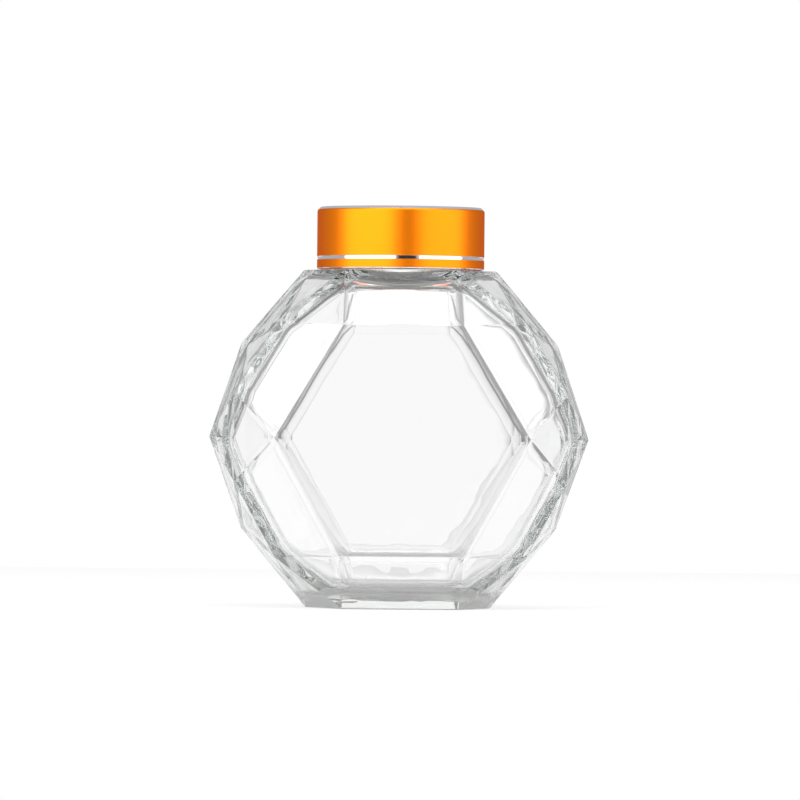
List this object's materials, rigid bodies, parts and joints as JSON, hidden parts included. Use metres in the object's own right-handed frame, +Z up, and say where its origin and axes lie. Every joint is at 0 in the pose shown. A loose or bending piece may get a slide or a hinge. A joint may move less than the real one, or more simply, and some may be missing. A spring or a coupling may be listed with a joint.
{
  "type": "faceted glass honey jar",
  "caption": "Empty clear glass honey jar with hexagonal front and back panels, faceted sides and a round orange metal screw cap.",
  "frame": {"origin": "centre of the flat base, on the surface that the jar stands on", "axes": "+Z up through the neck and cap, +X along the jar's width, +Y along its depth with the hexagonal panels facing -Y and +Y"},
  "size_m": [0.1114, 0.0686, 0.1177],
  "materials": {
    "jar_glass": "clear pressed soda-lime glass, smooth",
    "cap_aluminium": "satin orange anodised aluminium with bare polished bevel and groove",
    "cap_plastic": "white moulded plastic inner cap"
  },
  "bodies": {
    "root": {"jar_glass": "jar_glass", "cap_shell": "cap_aluminium", "cap_insert": "cap_plastic"}
  },
  "joints": []
}
